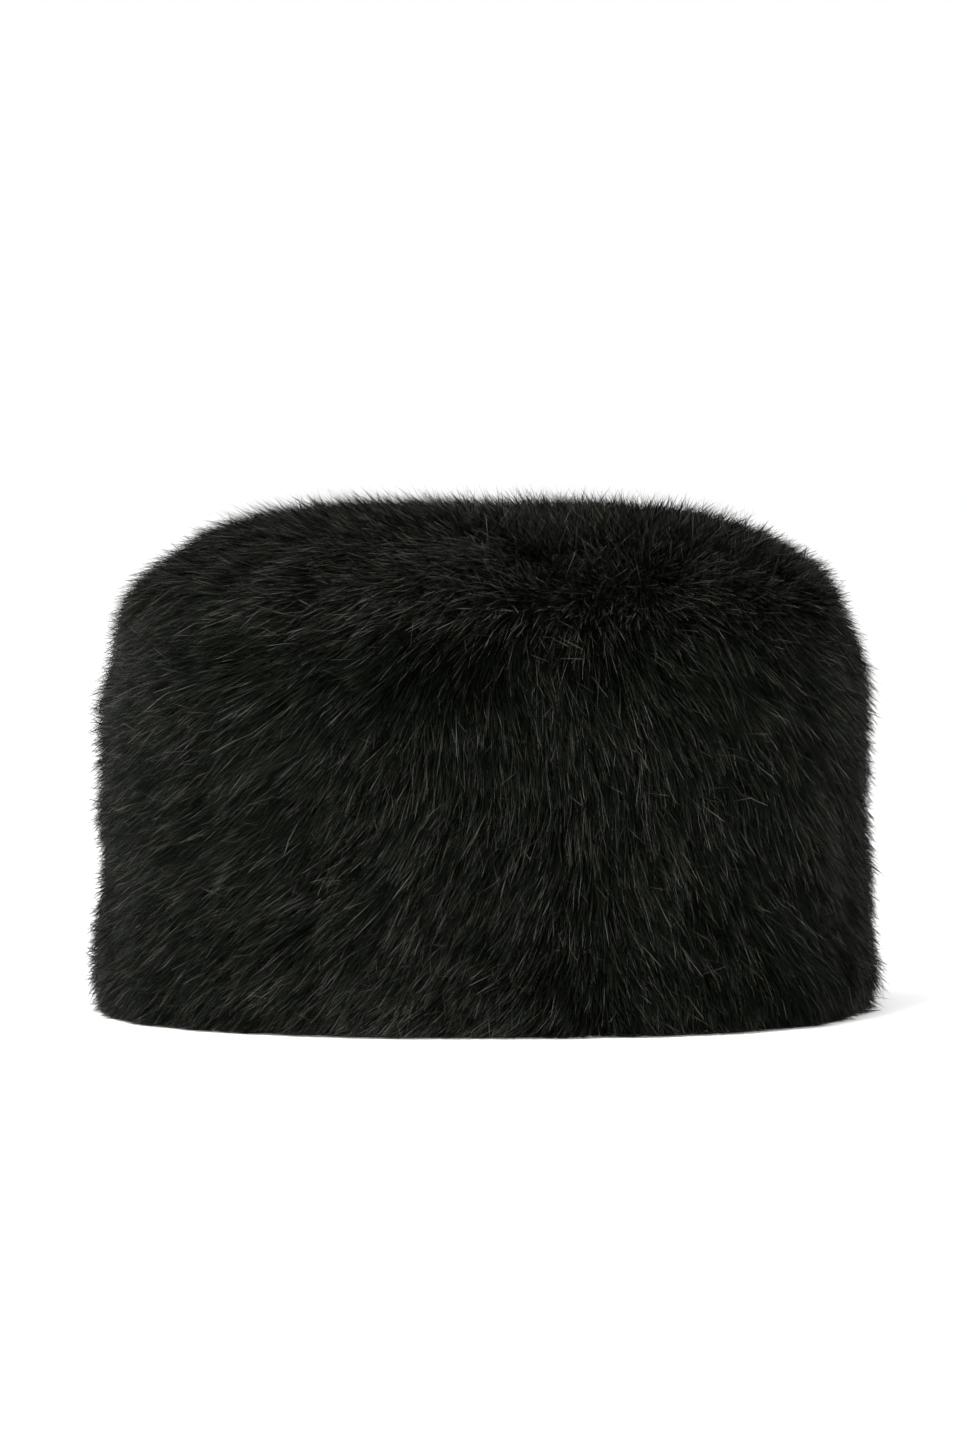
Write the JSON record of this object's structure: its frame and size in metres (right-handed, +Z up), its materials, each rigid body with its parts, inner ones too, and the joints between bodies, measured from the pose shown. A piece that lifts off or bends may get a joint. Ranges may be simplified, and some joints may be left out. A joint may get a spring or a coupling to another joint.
{
  "type": "fur pillbox hat",
  "caption": "Tall oval hat of long black fur without flaps: a straight side band, a soft-edged flat crown and an open hollow for the head.",
  "frame": {"origin": "on the surface the hat stands on, under the middle of its rim", "axes": "+Z up towards the crown, -Y towards the front as worn, +X to the viewer's right when facing the front"},
  "size_m": [0.2445, 0.2846, 0.1578],
  "materials": {
    "crown_fur": "long combed black fur, soft sheen",
    "band_fur": "long combed black fur, soft sheen"
  },
  "bodies": {
    "root": {"crown": "crown_fur", "side_band": "band_fur"}
  },
  "joints": []
}
